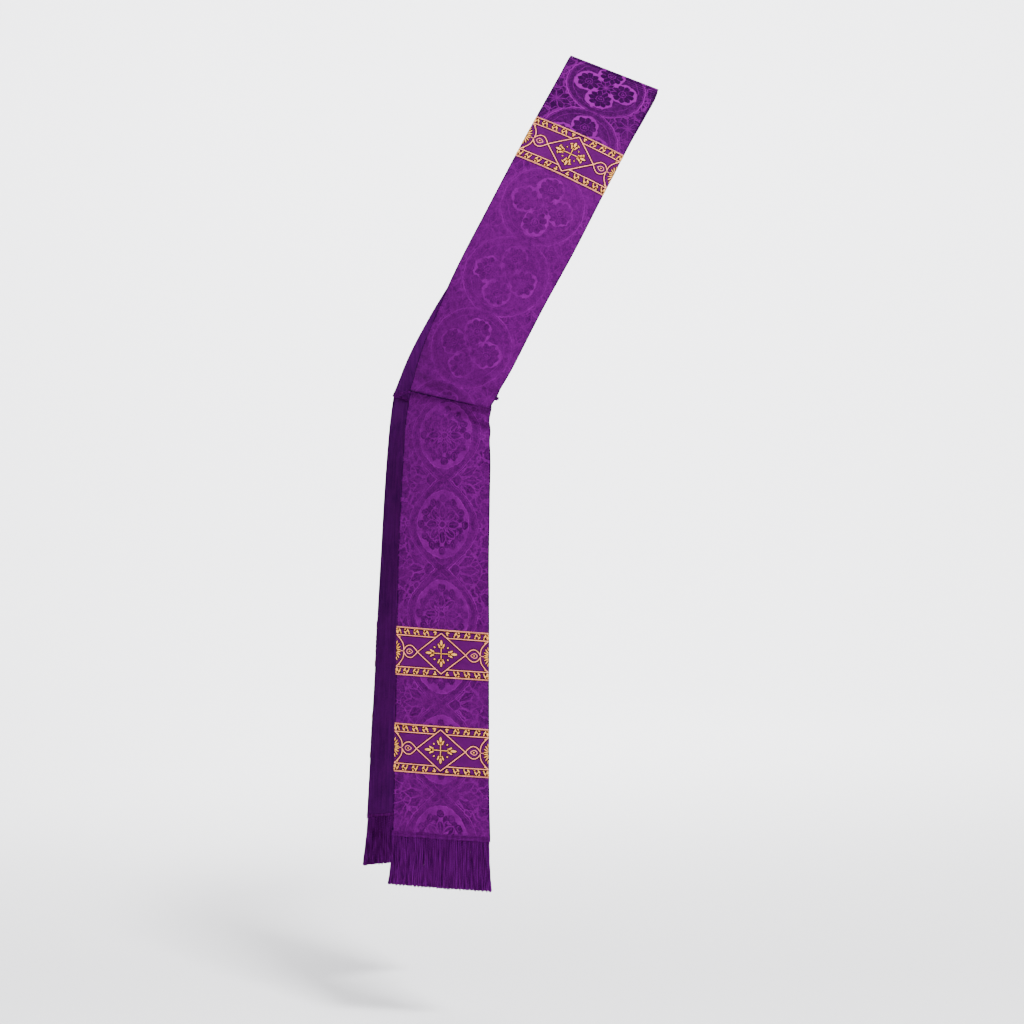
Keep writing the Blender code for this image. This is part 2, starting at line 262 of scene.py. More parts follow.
damask = {
    "dark": (0.012, 0.0001, 0.020),
    "light": (0.128, 0.0024, 0.147),
    "roughDull": 0.70,
    "roughSatin": 0.52,
    # how strong each figure is lower down, against 1 on the shoulder, where its painted sheen is strongest
    "calm": {"quatrefoil": 0.38, "rosette": 0.62},
    "level": {"quatrefoil": 0.41, "rosette": 0.38},
    "fleck": 0.55,
    "mottle": 0.38,
    "thread": 0.55,  # mm, like the sizes below
    "wander": 6.5,
    "leafCell": 14.5,
    "cellEdge": 0.8,
    "cellSway": 13.0,
    "seam": 45.0,  # mm from the shoulder seam to the first ring's centre
    # painted light and shade of the gathers, and a painted shadow line along the shoulder seam's fold
    "gatherShading": {"pitch": 4.6, "reach": 22.0, "depth": 0.18},
    "seamFoldShadow": {"place": 9.0, "half": 1.6, "depth": 0.32},
    "creaseShade": (0.28, 0.07),
    "edgeShade": 0.34,
    "ringHalf": 6.6,  # half the width of the linked rings' band
    "hatch": 1.9,
    "plain": 0.09,  # the tone between the figures
    # painted sheen: the heights over which the figure's painted sheen and the cloth's painted shade come
    # in
    "upper": (-0.19, -0.07),  # metres, where the cloth turns up over the shoulder
    "quatrefoil": {"pitch": 117.5, "reach": 53.8, "star": 58.0, "eye": 67.0},
    "rosette": {"pitch": 132.0, "reach": 47.8, "star": 19.0, "eye": 57.0},
}


def petals(fromCentre, turn, count, centre, long, wide):
    # how far outside the nearest of a ring of oval petals a point is
    folded = turn.use("WRAP", math.pi / count, -math.pi / count)
    ahead, aside = fromCentre * folded.cos() - centre, fromCentre * folded.sin()
    return (reach(ahead / long, aside / wide) - 1.0) * wide, abs(aside)


def kites(fromCentre, turn, count, foot, shoulder, tip, wide):
    # the same for pointed petals, widest at their shoulder
    folded = turn.use("WRAP", math.pi / count, -math.pi / count)
    ahead, aside = fromCentre * folded.cos(), abs(fromCentre * folded.sin())
    outwards, inwards = (ahead - shoulder) / (tip - shoulder), (ahead - shoulder) / (foot - shoulder)
    return (outwards.use("MAXIMUM", inwards) + aside / wide - 1.0) * wide * 0.85, aside


def star(tone, x, y, size, light=0.52):
    # eight dark pointed petals, each with a light edge and a vein
    fromCentre, turn = reach(x, y), turnOf(x, y)
    edge, aside = kites(fromCentre, turn, 8, size * 0.12, size * 0.62, size, size * 0.225)
    return over(
        tone,
        (within(edge - 1.0), light),
        (within(edge), 0.06),
        (line(aside, 0.3) * within(fromCentre - size * 0.45), light * 0.8),
        (within(fromCentre - size * 0.10), light * 1.1),
    )


def quatrefoil(tone, x, y, rim):
    # four lobes, each a light band round a ring of dark florets, about a small star
    big, small = x.use("MAXIMUM", y), x.use("MINIMUM", y)
    fromCentre = reach(x, y)
    lobe, lobeTurn = reach(big - 27.5, small), turnOf(big - 27.5, small)
    scallop = abs((lobeTurn * 4.5).cos())
    tone = over(
        tone,
        (within(lobe - rim), 0.95),
        (within(lobe - (scallop * 3.6 + 14.6)), 0.06),
        (line(lobe * scallop / 4.5, 0.35) * line(lobe - 12.6, 3.4), 0.50),
        (line(lobe - 6.6 + scallop * 1.3, 0.5), 0.60),
        (line(lobe - 2.0, 0.5), 0.58),
        (within(fromCentre - 12.5), 0.08),
    )
    return star(tone, x, y, 14.5, 0.56)


def rosette(tone, x, y):
    # a light oval, thicker above and below, that holds a spray of leaves round a dark eye
    outer = ((x / 41.2) ** 1.85 + (y / 50.0) ** 1.85) ** (1 / 1.85)
    ovalX, ovalY = x / 42.0, y / 46.0
    out, turn, fromCentre = reach(ovalX, ovalY) * 40.0, turnOf(ovalX, ovalY), reach(x, y)
    tips = petals(out, turn, 12, (turn * 4.0).cos() * 1.8 + 31.8, 5.2, 5.4)[0]
    buds = petals(out, turn + math.pi / 12, 12, 27.0, 5.4, 4.2)[0]
    leaves, fromVein = petals(out, turn, 8, 16.4, 8.4, 4.7)
    small = petals(out, turn + math.pi / 8, 8, 21.0, 4.6, 2.4)[0]
    stem = kites(out, turn + math.pi / 4, 4, 3.0, 8.0, 15.0, 2.2)[0]
    return over(
        tone,
        (within((outer - 1.0) * 44.0), 0.62),
        (line((outer - 1.0) * 44.0, 0.5), 0.95),
        (within(tips), 0.04),
        (within(buds), 0.08),
        (line(tips + 2.6, 0.4) * within(out - 33.0), 0.46),
        (within(out - (abs((turn * 4.0).cos()) * 3.4 + 21.5)), 0.07),
        (line(leaves, 0.5), 0.62),
        (line(fromVein, 0.4) * within(out - 21.0), 0.44),
        (line(small, 0.4), 0.50),
        (line(stem, 0.45), 0.74),
        (within(fromCentre - 6.2), 0.72),
        (within(fromCentre - 4.3), 0.06),
    )


def spandrel(tone, kind, x, y, edge):
    # leaf cells with light edges between them, and a star or a palmette
    x = x - damask[kind]["star"]
    fromFoot = reach(x, y)
    tone = over(tone, (line(edge - 2.4, 0.35), 0.28), (within(edge + 0.1, 0.6), 0.62))
    if kind == "quatrefoil":
        return star(over(tone, (within(fromFoot - 17.0, 1.2), 0.16)), x, y, 22.5)
    # a palmette that opens outwards from the crossing
    turn = turnOf(x, y)
    tall, fromVein = kites(fromFoot, turn, 11, 9.0, 25.0, 37.0, 6.4)
    short = petals(fromFoot, turn + math.pi / 11, 11, 33.0, 4.4, 3.2)[0]
    return over(
        tone,
        (within(tall - 1.2), 0.66),
        (within(tall), 0.10),
        (line(fromVein, 0.4) * within(tall + 1.6), 0.44),
        (within(short - 0.9), 0.66),
        (within(short), 0.20),
        (within(fromFoot - 9.5), 0.14),
        (line(fromFoot - 9.5, 0.6), 0.66),
    )


def makeDamask(name, kind):
    sizes = damask[kind]
    pitch, widest, half = sizes["pitch"], sizes["reach"], damask["ringHalf"]
    outline = 1.0 if kind == "quatrefoil" else 0.6
    finish = Finish(name, specular=0.02, tint=violet)
    plainX, down = finish.flat()
    # drawn by hand: the figure's lines wander, and the leaf cells more so
    swayX, swayY = finish.grain(88.0, 3.0, rough=0.68) - 0.5, finish.grain(107.0, 3.0, rough=0.68) - 0.5
    x = abs(plainX + swayX * damask["wander"])
    wandering = down + swayY * damask["wander"]
    y = abs(wandering - (wandering / pitch).use("ROUND") * pitch)
    if kind == "quatrefoil":
        ring = reach(x, y) - widest
    else:
        wave = (y * (math.pi / pitch)).cos()
        slant = (y * (math.pi / pitch)).sin() * (widest * math.pi / pitch)
        ring = (x - wave * widest) / (slant * slant + 1.0).use("SQRT")
    cellX, cellY = x + swayY * damask["cellSway"], y + swayX * damask["cellSway"]
    leafEdge = finish.cells(cellX, cellY, damask["leafCell"])
    tone = spandrel(x * 0.0 + damask["plain"], kind, x, pitch / 2 - y, leafEdge)
    # a round eye beside each ring, then the linked rings: a dark band with fine lines on it and a
    # light outline
    eye = reach(x - sizes["eye"], y)
    hatch = ribs(x, damask["hatch"]) * ribs(down, damask["hatch"])
    tone = over(
        tone,
        (within(eye - 4.6), 0.16),
        (line(eye - 4.0, 0.7), 0.78),
        (within(eye - 1.2), 0.70),
        (within(ring - half - 0.6), 0.08),
        (within(ring - half) * hatch.ramp(0.0, 0.6) * 0.45, 0.62),
        (line(ring - half + 2.4, 0.45), 0.52),
        (line(ring + half - 2.4, 0.45), 0.52),
        (line(ring - half - 0.2, outline), 0.85),
    )
    # painted sheen and shade: high on the shoulder, where the satin turns up to the light, the figure
    # shows strongest and the cloth is a little darker; lower down, where the cloth faces forward, the
    # figure is plainest, and the weave breaks its edges
    upper = finish.place()[2].ramp(*damask["upper"])
    if kind == "quatrefoil":
        tone = quatrefoil(tone, x, y, finish.grain(48.0, 2.0) * 11.0 + upper * 1.2 + 14.8)
    else:
        tone = rosette(tone, x, y)
    # painted sheen: the figure's contrast is raised towards the shoulder
    calm = upper * (1 - damask["calm"][kind]) + damask["calm"][kind]
    cloud, fleck, mottle = finish.grain(9.0, 2.0), finish.grain(460.0, 2.0), finish.grain(150.0, 2.0)
    worn = (finish.grain(34.0, 3.0).ramp(0.36, 0.62) * 0.80 - 0.58) * (1 - upper * 0.85) + 1.0
    # painted shade: the cloth is darkened towards the shoulder
    tone = (tone - 0.32) * calm * (cloud * 1.7 + 0.16) * worn + damask["level"][kind] - upper * 0.11
    if kind == "quatrefoil":
        # painted light and shade of fine gathers along the seam on the shoulder, and a painted shadow line
        # along the seam's fold
        seam, gatherShading, fold = down + damask["seam"], damask["gatherShading"], damask["seamFoldShadow"]
        gather = (seam * (2 * math.pi / gatherShading["pitch"]) + plainX * 0.05).cos()
        gather = gather * plainX.ramp(-10.0, 60.0)
        tone = tone + gather * within(seam - gatherShading["reach"], 6.0) * gatherShading["depth"]
        tone = tone - line(seam - fold["place"], fold["half"], 1.4) * fold["depth"]
    # the shadow in the tuck's crease, and along the turned edges
    below, side = finish.flat("tuck")
    below = abs(below + 0.2)
    sharp, wide = damask["creaseShade"]
    creased = within(below - 0.6, 0.5) * sharp + within(below - 4.0, 4.0) * wide
    tone = tone - creased * plainX.ramp(62.0, 30.0)
    tone = tone - abs(side).ramp(0.965, 0.990) * damask["edgeShade"]
    share = tone + (fleck - 0.5) * damask["fleck"] + (mottle - 0.5) * damask["mottle"]
    share = share + (cloud - 0.5) * 0.10
    finish.colour(share, damask["dark"], damask["light"])
    finish.set("Roughness", damask["roughDull"] - tone * (damask["roughDull"] - damask["roughSatin"]))
    weave = ribs(plainX, damask["thread"]) * 0.4 + ribs(plainX + down, damask["thread"] * 2) * 0.6
    finish.raised(tone * 1.2 + weave * 0.35 + fleck * 0.5, 0.12 * mm, 0.7)
    return finish.material


lining = {
    "dark": (0.020, 0.0002, 0.032),
    "light": (0.058, 0.0010, 0.078),
    "rib": 0.8,
    "slub": 0.9,
    "cloud": 0.9,
}


def makeLining():
    finish = Finish("liningCloth", roughness=0.70, specular=0.02, tint=violet)
    x, y = finish.flat()
    cloud, fleck = finish.grain(14.0, 3.0), finish.grain(600.0, 2.0)
    slub = finish.grain(260.0, 2.0, (1, 1, 0.05))
    share = (cloud - 0.5) * lining["cloud"] + (fleck - 0.5) * 0.7 + (slub - 0.5) * lining["slub"] + 0.42
    finish.colour(share, lining["dark"], lining["light"])
    finish.raised(ribs(x + y, lining["rib"]) * 0.5 + fleck, 0.08 * mm, 0.6)
    return finish.material


# Galloon bands: a woven ground with the figure in raised gold thread. Flat sizes are in mm, x
# across the strip from its middle and y down from the band's middle.

galloon = {
    "halfWidth": 71.5,
    "halfHeight": 36.0,
    "columns": 52,
    "rows": 30,
    "trim": 0.998,  # how much of the strip's width the ground takes
    "seam": 0.25,
    "wall": 0.8,
    "rib": 0.7,
    "warp": 1.1,
    "dark": (0.020, 0.0004, 0.022),
    "light": (0.096, 0.0016, 0.112),
    "edgeRound": 0.3,
    "lineRound": 0.92,
    "lineHeight": 0.62,
    "fineRound": 0.5,
    "leafHeight": 0.78,
    # painted shade: the dark outline leaves and threads under the gold stand in for the shadow round it
    "outline": 1.15,
    "outlineHeight": 0.28,
    "outerLine": 35.0,
    "innerLine": 23.6,
    "diamond": (37.0, 30.4),
    "eye": ((37.0, 0.0), (41.5, 5.2), (47.0, 8.9), (52.5, 8.4), (57.0, 4.4), (59.0, 0.9)),
    "arch": ((59.0, 0.9), (58.9, 4.8), (60.0, 10.2), (64.6, 17.2), (70.6, 23.4)),
    "bar": ((59.4, 0.0), (64.0, 0.0)),
    "teardrop": ((44.4, 0.0), (47.0, 2.3), (50.2, 3.5), (53.2, 2.2), (54.2, 0.0)),
    "sprigs": (23.5, 39.0, 54.4, 67.8),
    "sprigLevel": 29.3,
    "pupil": 49.6,
    "figureFlat": 0.8,  # how much of its height the figure keeps on the cloth
}


def makeGalloonGround():
    finish = Finish("galloonGround", roughness=0.62, specular=0.06, tint=violet)
    x, y = finish.flat()
    cloud, fleck = finish.grain(30.0, 3.0), finish.grain(700.0, 2.0)
    rib = ribs(y, galloon["rib"])
    # painted shade: the ground is darker along the gold lines, where the raised thread shades it
    across, tall = galloon["diamond"]
    slope = (abs(x) / across + abs(y) / tall - 1.0) * (across * tall / math.hypot(across, tall))
    dark = line(abs(y) - galloon["innerLine"], 1.3, 0.7) * within(-slope)
    dark = dark.use("MAXIMUM", line(abs(y) - galloon["outerLine"], 1.6, 0.7))
    dark = dark.use("MAXIMUM", line(slope, 1.3, 0.7))
    # painted shade along the gold lines is taken off the ground's tone
    tone = cloud * 0.5 + fleck * 0.3 + rib * 0.08 - dark * 0.55
    finish.colour(tone, galloon["dark"], galloon["light"])
    finish.raised(rib * 0.6 + ribs(x, galloon["warp"]) * 0.3 + fleck, 0.10 * mm, 0.8)
    return finish.material


def makeGoldThread(name, dark, light):
    finish = Finish(name, roughness=0.33, specular=0.9, tint=(1.0, 0.70, 0.40), metal=0.1)
    x, y = finish.flat()
    thread = ribs(x * 0.55 + y, 0.85) * 0.5 + 0.5
    fleck, cloud = finish.grain(420.0, 2.0), finish.grain(60.0, 2.0)
    share = (thread - 0.5) * 0.7 + (fleck - 0.5) * 0.9 + (cloud - 0.5) * 0.5 + 0.58
    finish.colour(share, dark, light)
    finish.raised(thread + fleck * 0.6, 0.16 * mm, 0.9)
    return finish.material


def makeTwistedThread(name, dark, light, streak, contrast):
    finish = Finish(name, roughness=0.80, specular=0.0, tint=violet)
    streaks = finish.grain(streak, 2.0, (1, 1, 0.025))
    fleck = finish.grain(900.0, 2.0, (1, 1, 0.5))
    finish.colour((streaks - 0.5) * contrast + fleck * 0.4 + 0.22, dark, light)
    finish.raised(fleck, 0.08 * mm, 0.8)
    return finish.material


def makePaper():
    finish = Finish("studioPaper", roughness=0.9, specular=0.2)
    r, g, b = studio["paper"]
    finish.colour(finish.grain(3.0, 4.0), (r * 0.985, g * 0.985, b * 0.985), (r, g, b))
    return finish.material


# The threads' colours go from dark to light; a twisted thread also has the fineness and the
# strength of its streaks.
materials = {
    "quatrefoil": makeDamask("damaskQuatrefoil", "quatrefoil"),
    "rosette": makeDamask("damaskRosette", "rosette"),
    "lining": makeLining(),
    "ground": makeGalloonGround(),
    "copper": makeGoldThread("copperThread", (0.210, 0.036, 0.026), (1.000, 0.330, 0.180)),
    "gold": makeGoldThread("goldThread", (0.240, 0.055, 0.008), (1.000, 0.460, 0.070)),
    # painted shade: a near-black thread for the outlines that stand in for the shadow round the raised
    # gold
    "shade": makeTwistedThread("shadeThread", (0.006, 0.0006, 0.004), (0.034, 0.0040, 0.014), 300, 1.0),
    "fringe": makeTwistedThread("fringeThread", (0.006, 0.0001, 0.010), (0.100, 0.0012, 0.132), 1000, 2.4),
    "header": makeTwistedThread("fringeHeader", (0.014, 0.0002, 0.023), (0.108, 0.0018, 0.130), 500, 1.1),
    "cord": makeTwistedThread("cordThread", (0.012, 0.0001, 0.019), (0.072, 0.0012, 0.092), 300, 1.2),
    "paper": makePaper(),
}
print("materials made")

# The strip's runs. Each section has its name, the x, y and z of its middle in mm, its turn in plan
# and the dip of its right end in degrees, and its width and bow in mm.

sections = {
    "frontDiagonal": (
        ("crest", 0, -0.15, 2, 0, 21.2, 144, 0.0),
        ("brow", 0, -2.2, 2, 0, 21.2, 144, 0.0),
        ("roll", -3, -9, -3.5, 0.3, 21.4, 144, 0.5),
        ("shoulder", -18, -32, -34, 1.7, 21.6, 143, 2.0),
        ("collarbone", -34, -56, -67, 3.2, 22.0, 143, 3.5),
        ("bandTop", -55.5, -79, -110, 4.4, 23.3, 143, 4.5),
        ("bandFoot", -87.5, -103, -173, 4.4, 24.0, 143, 5.5),
        ("chest", -130.5, -121, -258, 2.7, 25.6, 143, 6.5),
        ("ribs", -177, -124, -345.5, -1.8, 26.6, 141, 7.5),
        ("waist", -213, -117, -420, -11.4, 23.7, 140, 9.0),
        ("hip", -234, -104, -465.5, -20.0, 15.0, 141, 10.0),
        ("tuck", -249, -95.5, -503, -22.2, 12.6, 133.5, 9.0),
    ),
    "frontHanging": (
        ("tuck", -249.2, -95.4, -504.5, -22.2, 12.6, 133.5, 9.0),
        ("fold", -251.5, -94.8, -516, -21.8, 10.0, 133, 9.0),
        ("relief", -253.2, -95.2, -533, -21.4, 7.4, 134.5, 9.0),
        ("thigh", -254, -99, -575, -21.2, 5.8, 139, 8.5),
        ("drop", -256, -105, -646, -20.6, 4.4, 142.5, 7.5),
        ("knee", -258.5, -111.5, -734, -18.4, 3.9, 143, 6.5),
        ("upperTop", -259, -117.5, -843, -16.0, 3.3, 143, 5.5),
        ("upperFoot", -259.6, -121, -913.5, -14.6, 2.6, 143, 5.0),
        ("lowerTop", -260.1, -124.5, -984, -13.4, 2.5, 143.5, 5.0),
        ("lowerFoot", -260.7, -128, -1055, -12.1, 2.6, 144, 4.5),
        ("hem", -260.8, -131.5, -1142, -10.6, 2.2, 147, 4.0),
    ),
    "backDiagonal": (
        ("crest", 0, 0.15, 2, 0, 21.2, 144, 0.0),
        ("brow", 0, 2.2, 2, 0, 21.2, 144, 0.0),
        ("roll", -1.5, 9, -3.5, -0.3, 21.4, 144, 0.5),
        ("shoulder", -17, 33, -33, -1.7, 21.8, 143, 2.0),
        ("yoke", -37, 58, -66, -3.2, 22.6, 143, 3.5),
        ("bandTop", -60, 82, -108, -4.0, 24.5, 143, 4.5),
        ("bandFoot", -95, 107, -171, -2.0, 26.2, 143, 5.5),
        ("blade", -142, 126, -256, 3.0, 28.2, 143, 6.5),
        ("ribs", -196, 126, -343, 14.0, 28.8, 142, 8.0),
        ("waist", -243, 109.5, -417, 28.0, 26.4, 141, 10.0),
        ("hip", -270, 90, -464, 36.6, 20.0, 140, 11.0),
        ("tuck", -290, 69, -509, 39.6, 14.6, 136, 10.0),
    ),
    "backHanging": (
        ("tuck", -290.2, 69.1, -510.5, 39.6, 14.6, 136, 10.0),
        ("fold", -291.2, 69.8, -522, 39.4, 11.6, 137, 10.0),
        ("relief", -292, 71, -540, 39.0, 8.8, 139, 9.5),
        ("thigh", -294, 74, -582, 38.2, 6.2, 142, 9.0),
        ("drop", -298, 77, -652, 37.2, 4.6, 143, 8.0),
        ("knee", -302.5, 80, -740, 36.2, 3.9, 143, 7.0),
        ("upperTop", -308, 83, -843, 35.4, 3.3, 143, 6.0),
        ("upperFoot", -311, 84.5, -913.5, 35.0, 2.7, 143, 5.5),
        ("lowerTop", -314.5, 86, -984, 34.6, 2.5, 143.5, 5.0),
        ("lowerFoot", -318, 88, -1055, 34.2, 2.5, 144, 4.5),
        ("hem", -321.5, 90, -1142, 34.0, 2.2, 147, 4.0),
    ),
}

# Soft troughs, and ridges where the depth is below nought: the u and the mm below the tuck where
# each starts and ends, then its depth and half width in mm.
creases = {
    "frontDiagonal": (
        (1.15, -15, 0.30, -36, 1.7, 6.0),
        (1.15, -27, 0.42, -60, -1.3, 7.0),
        (0.50, -1, -1.02, -22, 3.0, 7.0),
        (0.60, -12, -0.98, -34, -3.2, 8.0),
        (-0.50, -62, -0.92, -150, 2.2, 15.0),
        (0.72, -70, 0.30, -190, 1.9, 17.0),
        (-0.15, -190, -0.50, -320, 1.6, 20.0),
        (0.55, -330, 0.25, -395, 1.1, 15.0),
    ),
    "frontHanging": (
        (-0.15, 4, 1.08, 45, 6.6, 9.5),
        (0.30, 8, 1.08, 34, -2.0, 8.5),
        (-0.86, 7, -0.40, 62, 1.7, 13.0),
        (1.10, 62, 0.34, 158, 1.9, 17.0),
        (-0.55, 120, -0.20, 290, 1.6, 22.0),
        (0.60, 260, 0.45, 395, 1.2, 18.0),
        (-0.30, 470, -0.45, 640, 1.0, 20.0),
    ),
    "backDiagonal": (
        (1.15, -14, 0.36, -42, 1.9, 6.5),
        (1.15, -30, 0.50, -70, -1.2, 8.0),
        (0.20, -7, -0.95, -44, 3.8, 11.0),
        (-0.60, -80, -0.95, -140, 1.9, 13.0),
        (0.66, -95, 0.20, -230, 1.8, 19.0),
        (-0.35, -220, -0.55, -380, 1.5, 20.0),
    ),
    "backHanging": (
        (0.05, 5, 1.10, 36, 4.6, 9.0),
        (0.42, 16, 1.10, 49, -1.0, 7.0),
        (-0.80, 9, -0.50, 80, 1.3, 14.0),
        (1.10, 80, 0.46, 170, 1.3, 15.0),
        (-0.40, 150, -0.12, 340, 1.2, 24.0),
        (0.35, 430, 0.50, 600, 1.0, 20.0),
    ),
}

# Sizes of the cloth in mm
cloth = {
    "wall": 2.0,
    "halfWidth": 71.5,  # what u is counted in for the creases
    "columns": 56,
    "rowStep": 2.4,
    "seamOverlap": 0.13,
    "hangingTop": 0.8,  # mm below the tuck where the lower run comes out
    "edgeRound": 0.85,
    "lapOuter": 1.4,  # how far the lower run lies in under the tuck, at each edge
    "lapInner": 4.6,
    "fadeOuter": 26.0,
    "fadeInner": 55.0,
    "lipLift": 2.4,
    "lipReach": 10.0,
    "curl": 2.6,  # how much of the lip turns in, and how far
    "curlIn": 1.9,
    "dimple": (0.40, 0.30, 14.0, 9.0, 2.2),  # u, its reach, mm below the tuck, its height, depth
    "tongueOuter": 3.0,  # how far the lower run goes up behind the tuck
    "tongueInner": 9.0,
    "tongueGap": 0.2,
    "diagonalStart": damask["seam"],
    "hangingStart": 185.0,  # from the tuck to a ring's centre
    "hangingShift": 66.0,  # the lower piece of damask, joined on under the upper band
}


def columnOf(values):
    return np.asarray(values, float)[:, None]


def smooth(rows, along, at):
    # every column of the rows at the distances at, on a smooth curve
    step = np.diff(along)
    rise = np.diff(rows, axis=0) / step[:, None]
    before, after = step[:-1, None], step[1:, None]
    inner = (after * rise[:-1] + before * rise[1:]) / (before + after)
    slope = np.vstack((1.5 * rise[0] - 0.5 * inner[0], inner, 1.5 * rise[-1] - 0.5 * inner[-1]))
    i = np.clip(np.searchsorted(along, at) - 1, 0, len(step) - 1)
    h, t = columnOf(step[i]), columnOf((at - along[i]) / step[i])
    return (
        (2 * t**3 - 3 * t**2 + 1) * rows[i]
        + (t**3 - 2 * t**2 + t) * h * slope[i]
        + (3 * t**2 - 2 * t**3) * rows[i + 1]
        + (t**3 - t**2) * h * slope[i + 1]
    )


def between(u, outer, inner):
    # a size that goes evenly from one edge of the strip to the other
    return outer + (inner - outer) * ((u + 1) / 2)


def lengths(points):
    steps = np.linalg.norm(np.diff(points, axis=0), axis=1)
    return np.concatenate(([0.0], np.cumsum(steps)))


def unit(vectors):
    return vectors / np.linalg.norm(vectors, axis=-1, keepdims=True)


class Run:
    # one straight run of the strip: u goes from -1 to 1 across it, at is the distance down it
    def __init__(self, key, outward):
        rows = sections[key]
        self.names = [row[0] for row in rows]
        self.table = np.array([row[1:] for row in rows]) * (mm, mm, mm, degree, degree, mm, mm)
        self.along = lengths(self.table[:, :3])
        self.end = self.along[-1]
        self.outward, self.hangs, self.creases = outward, "Hanging" in key, creases[key]
        self.tape = np.linspace(0, self.end, 500)
        sides = (np.full(500, -1.0), np.full(500, 1.0))
        self.edges = [lengths(self.lay(side, self.tape, bare=True)) for side in sides]

    def place(self, name):
        return self.along[self.names.index(name)]

    def frame(self, at):
        x, y, z, turn, dip, width, bow = smooth(self.table, self.along, at).T
        ahead, behind = (smooth(self.table, self.along, at + d)[:, :3] for d in (0.0005, -0.0005))
        down = unit(ahead - behind)
        across = np.stack((np.cos(turn) * np.cos(dip), np.sin(turn) * np.cos(dip), -np.sin(dip)), 1)
        out = unit(np.cross(across, down)) * self.outward
        return np.stack((x, y, z), 1), across, out, down, width / 2, bow

    def sunk(self, u, at, half):
        # how far the face lies inside its plain line: the tuck's lap, its dimple and the creases
        if self.hangs:
            lap = between(u, cloth["lapOuter"], cloth["lapInner"])
            fade = between(u, cloth["fadeOuter"], cloth["fadeInner"]) * mm
            side, spread, below, tall, depth = cloth["dimple"]
            hollow = np.exp(-(((u - side) / spread) ** 2) - ((at / mm - below) / tall) ** 2)
            deep = lap * np.exp(-((np.maximum(at, 0) / fade) ** 2)) + depth * hollow
            below = at
        else:
            below = at - self.end
            deep = -cloth["lipLift"] * np.exp(-((below / (cloth["lipReach"] * mm)) ** 2))
            deep = deep + cloth["curlIn"] * np.maximum(below / (cloth["curl"] * mm) + 1, 0) ** 2
        spot, halfWidth = np.stack((u * half, below), 1), cloth["halfWidth"] * mm
        for u0, s0, u1, s1, depth, width in self.creases:
            start, end = np.array((u0 * halfWidth, s0 * mm)), np.array((u1 * halfWidth, s1 * mm))
            way = end - start
            t = np.clip((spot - start) @ way / (way @ way), 0, 1)
            off = np.linalg.norm(spot - start - t[:, None] * way, axis=1)
            deep = deep + depth * np.exp(-((off / (width * mm)) ** 2)) * (1 - abs(2 * t - 1) ** 3)
        return deep * mm

    def lay(self, u, at, lift=0.0, bare=False):
        # points of the outer face, lifted off it by lift
        middle, across, out, _, half, bow = self.frame(at)
        rise = bow * (1 - u * u) + lift - (0 if bare else self.sunk(u, at, half))
        return middle + across * columnOf(u * half) + out * columnOf(rise)

    def above(self, u, at, height):
        # points at a height over the outer face, along its own normal
        small = 0.002
        sideways = self.lay(u + small, at) - self.lay(u - small, at)
        downwards = self.lay(u, at + small * 0.1) - self.lay(u, at - small * 0.1)
        normal = unit(np.cross(sideways, downwards)) * self.outward
        return self.lay(u, at) + normal * columnOf(np.broadcast_to(height, u.shape))

    def flat(self, u, at):
        # mm across and mm down the cloth as it was cut
        half = smooth(self.table, self.along, at)[:, 5] / 2
        left, right = (np.interp(at, self.tape, edge) for edge in self.edges)
        if self.hangs:  # measured up from the hem
            left, right = (self.end + down - edge[-1] for down, edge in zip((left, right), self.edges))
        down = left * (1 - u) / 2 + right * (1 + u) / 2
        down = np.where(at < 0, down + at, down)
        return np.stack((u * half, down), 1) / mm


class Half:
    def __init__(self, side, outward):
        self.side, self.outward = side, outward
        self.diagonal = Run(side + "Diagonal", outward)
        self.hanging = Run(side + "Hanging", outward)


halves = {"front": Half("front", -1), "back": Half("back", 1)}
print("runs of the strip measured")


def finishPiece(mesh, name, slots):
    for slot in slots:
        mesh.materials.append(materials[slot])
    mesh.shade_smooth()
    return placed(name, mesh)


def meshOf(bm, name):
    mesh = bpy.data.meshes.new(name)
    bm.to_mesh(mesh)
    bm.free()
    return mesh


def gridOn(bm, points, flats, outward, material=0, below=None):
    # a grid with its vertices on the rows of points, and its flat coordinates as a UV map; a second
    # map holds how far below the tuck a point lies, and its share of the way from edge to edge
    down, across = points.shape[0] - 1, points.shape[1] - 1
    for name in ("cloth",) if below is None else ("cloth", "tuck"):
        if name not in bm.loops.layers.uv:
            bm.loops.layers.uv.new(name)
    layer, second = bm.loops.layers.uv["cloth"], bm.loops.layers.uv.get("tuck")
    made = bmesh.ops.create_grid(bm, x_segments=across, y_segments=down, size=1)["verts"]
    cells = {v: (round((1 - v.co.y) / 2 * down), round((v.co.x + 1) / 2 * across)) for v in made}
    faces = {face for vertex in made for face in vertex.link_faces}
    for face in faces:
        face.material_index = material
        for loop in face.loops:
            loop[layer].uv = flats[cells[loop.vert]]
            if second:
                row, column = cells[loop.vert]
                loop[second].uv = (below[row] / mm, column / across * 2 - 1)
    for vertex, cell in cells.items():
        vertex.co = points[cell]
    if outward > 0:
        bmesh.ops.reverse_faces(bm, faces=list(faces))


def spread(us, ats):
    # every u at every distance, row by row, and the shape that the rows then take
    return np.tile(us, len(ats)), np.repeat(ats, len(us)), (len(ats), len(us), -1)


def laid(run, us, ats):
    # a sheet of points and one of flat coordinates over the run
    u, at, shape = spread(us, ats)
    return run.lay(u, at).reshape(shape), run.flat(u, at).reshape(shape)


def rowsOf(start, end):
    return np.linspace(start, end, max(2, round((end - start) / (cloth["rowStep"] * mm))) + 1)


def wallOn(piece, wall, side, edgeRound, slotStep=0):
    solid = piece.modifiers.new("wall", "SOLIDIFY")
    solid.thickness, solid.offset = wall, side
    solid.use_even_offset = solid.use_quality_normals = True
    solid.material_offset = slotStep
    rounded = piece.modifiers.new("foldedEdge", "BEVEL")
    rounded.width, rounded.segments = edgeRound, 3
    rounded.limit_method, rounded.angle_limit = "ANGLE", 50 * degree
    rounded.harden_normals = False


